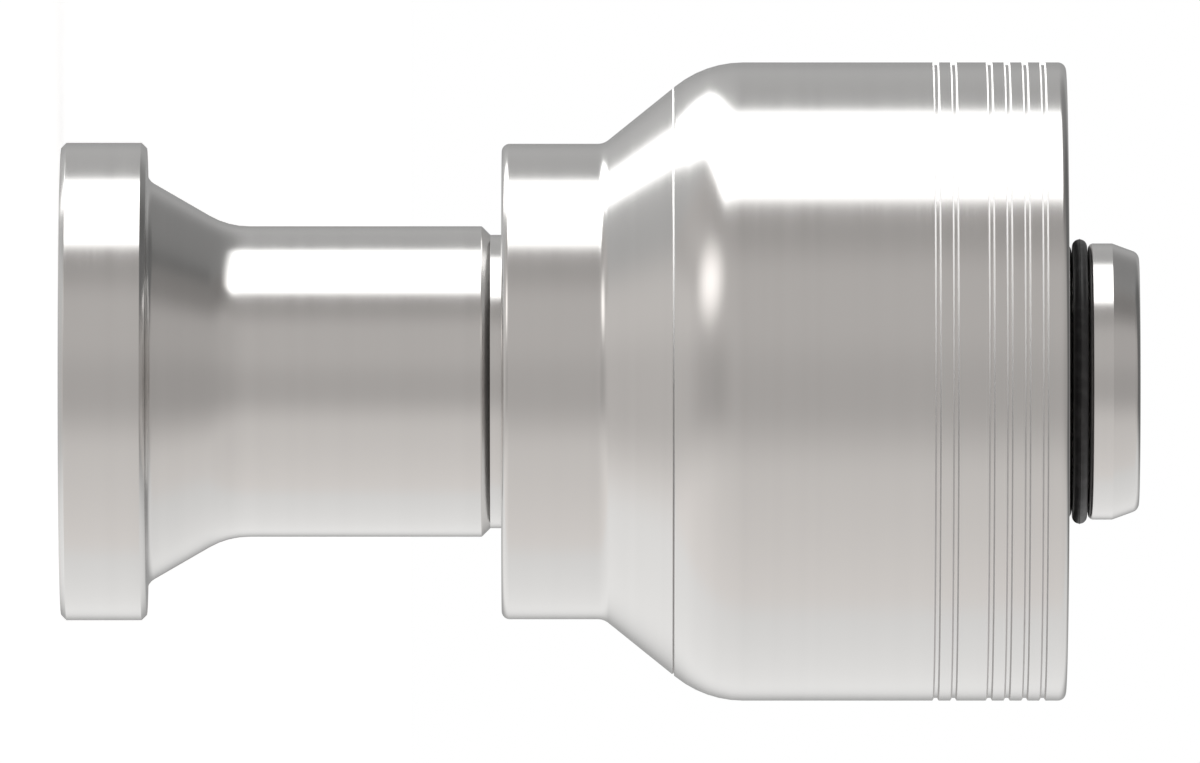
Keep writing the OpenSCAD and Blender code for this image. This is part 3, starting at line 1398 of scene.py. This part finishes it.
@dataclass(frozen=True)
class SmallLamp:
    """The small soft lamp in front of the object, above its flange end.

    Attributes:
        level: Level at its middle, as a share of white.
        place: The direction that it lies in.
        rim: How far along that direction its glow starts.
        spread: How much further its middle lies.
    """

    level: float = 1.0
    place: Slant = Slant(up=0.548, side=-0.553, back=-0.628)
    rim: float = 0.95
    spread: float = 0.05

    def share(self, aim: Aim) -> Field:
        """Returns one at the lamp's middle, and zero outside it."""
        glow = ((self.place.of(aim) - self.rim) / self.spread).at_least(0.0)
        return glow * glow


@dataclass(frozen=True)
class Studio:
    """A plain pale studio: a floor, one long soft window, one small soft lamp and grey surroundings.

    Attributes:
        floor_size: Side of the floor, in metres.
        floor_drop: How far the floor lies under the flange face, in millimetres.
        floor_colour: Colour of the floor.
        floor_glow: What lifts the floor to white where the camera sees it.
        room: The grey room.
        window: The long soft window.
        lamp: The small soft lamp.
        warm_front: Where the warm tint of the front starts, by how far a direction points to the front.
        cool: Tint of the back.
        warm: Tint of the front.
        overhead: Strength of the overhead lamp, which only the pale painted-highlight flanks and other dull
            faces show.
        overhead_angle: How wide the overhead lamp looks from the object, in degrees.
    """

    floor_size: float = 12.0
    floor_drop: float = 0.02
    floor_colour: tuple[float, float, float] = (0.86, 0.86, 0.86)
    floor_glow: float = 0.64
    room: GreyRoom = GreyRoom()
    window: LongWindow = LongWindow()
    lamp: SmallLamp = SmallLamp()
    warm_front: Ease = Ease(-0.12, 0.1)
    cool: tuple[float, float, float] = (1.0, 1.0, 0.995)
    warm: tuple[float, float, float] = (1.0, 0.965, 0.94)
    overhead: float = 7.5
    overhead_angle: float = 20.0

    def build_floor(self) -> None:
        """Lays the floor under the flange face."""
        deselect_all()
        bpy.ops.mesh.primitive_plane_add(size=self.floor_size, location=(0, 0, -self.floor_drop * MM))
        floor = bpy.context.object
        floor.name = "studio_floor"
        floor.visible_glossy = False
        floor.visible_shadow = False
        made, shader, output = blank_material("floor_paper")
        tree = made.node_tree
        shader.inputs["Base Color"].default_value = (*self.floor_colour, 1)
        shader.inputs["Roughness"].default_value = 1.0
        shader.inputs["Specular IOR Level"].default_value = 0.0
        rays = tree.nodes.new("ShaderNodeLightPath")
        seen = Field(tree, rays.outputs["Is Camera Ray"])
        glow = tree.nodes.new("ShaderNodeEmission")
        plug(tree, glow.inputs["Strength"], seen * self.floor_glow)
        both = tree.nodes.new("ShaderNodeAddShader")
        tree.links.new(shader.outputs[0], both.inputs[0])
        tree.links.new(glow.outputs[0], both.inputs[1])
        tree.links.new(both.outputs[0], output.inputs["Surface"])
        floor.data.materials.append(made)

    def build_overhead(self, lit: list[bpy.types.Object]) -> None:
        """Hangs the overhead lamp, which shines down the picture on the steel.

        Args:
            lit: The pieces that it shines on.
        """
        deselect_all()
        bpy.ops.object.light_add(type="SUN", rotation=(0, -math.pi / 2, 0))
        lamp = bpy.context.object
        lamp.name = "overhead_lamp"
        lamp.data.energy = self.overhead
        lamp.data.angle = math.radians(self.overhead_angle)
        lamp.visible_glossy = False
        receivers = bpy.data.collections.new("lit_from_above")
        for piece in lit:
            receivers.objects.link(piece)
        lamp.light_linking.receiver_collection = receivers

    def build_light(self) -> None:
        """Builds the world: white to the camera, and the studio to what mirrors it or is lit by it."""
        world = bpy.data.worlds.new("pale_studio")
        bpy.context.scene.world = world
        world.use_nodes = True
        tree = world.node_tree
        tree.nodes.clear()
        coordinates = tree.nodes.new("ShaderNodeTexCoord")
        split = tree.nodes.new("ShaderNodeSeparateXYZ")
        tree.links.new(coordinates.outputs["Generated"], split.inputs[0])
        x, back, side = (Field(tree, socket) for socket in split.outputs)
        aim = Aim(up=-x, side=side, back=back)
        window = self.window.share(aim)
        level = self.room.light(aim) * (-window + 1.0) + window * self.window.level
        level = level + self.lamp.share(aim) * self.lamp.level
        tint = self.warm_front.of(-aim.back) * (-window + 1.0)
        studio = tree.nodes.new("ShaderNodeBackground")
        tree.links.new(mix_colour(tree, tint, self.cool, self.warm), studio.inputs["Color"])
        plug(tree, studio.inputs["Strength"], level)
        white = tree.nodes.new("ShaderNodeBackground")
        white.inputs["Color"].default_value = (1, 1, 1, 1)
        rays = tree.nodes.new("ShaderNodeLightPath")
        seen = Field(tree, rays.outputs["Is Camera Ray"]).at_least(
            Field(tree, rays.outputs["Is Transmission Ray"]))
        mixed = tree.nodes.new("ShaderNodeMixShader")
        plug(tree, mixed.inputs[0], seen)
        tree.links.new(studio.outputs[0], mixed.inputs[1])
        tree.links.new(white.outputs[0], mixed.inputs[2])
        output = tree.nodes.new("ShaderNodeOutputWorld")
        tree.links.new(mixed.outputs[0], output.inputs["Surface"])
        LOG.info("studio light built")


@dataclass(frozen=True)
class SideCamera:
    """A long lens square to the axis, rolled so that the axis runs across the picture.

    Attributes:
        lens: Focal length, in millimetres.
        sensor: Width of the sensor, in millimetres.
        view_width: Width that the picture takes in at the axis, in millimetres.
        view_middle: Height over the flange face that the picture centres on, in millimetres.
        clip_end: How far the camera sees, in metres.
    """

    lens: float = 1050.0
    sensor: float = 36.0
    view_width: float = 111.68
    view_middle: float = 50.15
    clip_end: float = 100.0

    def build(self) -> None:
        """Sets the camera up."""
        data = bpy.data.cameras.new("side_camera")
        data.lens = self.lens
        data.sensor_width = self.sensor
        data.clip_end = self.clip_end
        camera = bpy.data.objects.new("side_camera", data)
        bpy.context.scene.collection.objects.link(camera)
        distance = self.view_width * MM * self.lens / self.sensor
        right, up, towards = Vector((0, 0, 1)), Vector((-1, 0, 0)), Vector((0, -1, 0))
        turn = Matrix((right, up, towards)).transposed().to_4x4()
        place = towards * distance + Vector((0, 0, self.view_middle * MM))
        camera.matrix_world = Matrix.Translation(place) @ turn
        bpy.context.scene.camera = camera


def record_colour(slot: str) -> tuple[float, float, float]:
    """Looks a material slot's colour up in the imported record.

    Args:
        slot: Name of the slot.

    Returns:
        Its base colour.
    """
    found = next(m for m in frame["record"]["materials"] if m["slot"] == slot)
    return tuple(found["base_color"])


def main() -> None:
    """Builds the studio and the three pieces, in order."""
    logging.basicConfig(level=logging.INFO, format="%(name)s: %(message)s")
    bpy.context.scene.view_settings.view_transform = "Standard"
    steel = record_colour("shell_steel")
    dull = tuple(level * BORED_SHARE for level in steel)
    # Painted shade: a dark copy of the steel colour for the shell's front bore
    dark = tuple(level * PAINTED_SHADE_SHARE for level in steel)
    bored = SteelFinish("bored_steel", dull, roughness=0.28, mark_depth=0.003, feed_marks=5.0)
    finishes = {
        Cut.TURNED: SteelFinish("turned_steel", steel).material(),
        Cut.BORED: bored.material(),
        # Painted highlight: a pale dull colour that stands in for the highlight lines on the flanks
        Cut.SCORED: PaintedHighlightFinish("painted_highlight_steel").material(),
        Cut.SEATED: SteelFinish("painted_shade_steel", dark, roughness=0.35).material(),
    }
    rubber = RubberFinish("seal_rubber", record_colour("seal_rubber"))
    built = []
    for piece in (Nipple(finishes=finishes), CrimpShell(finishes=finishes), TailSealRing(finish=rubber)):
        built.append(piece.build())
        piece.dress(built[-1])
    studio = Studio()
    studio.build_floor()
    studio.build_light()
    studio.build_overhead(built[:2])
    SideCamera().build()


if __name__ == "__main__":
    main()
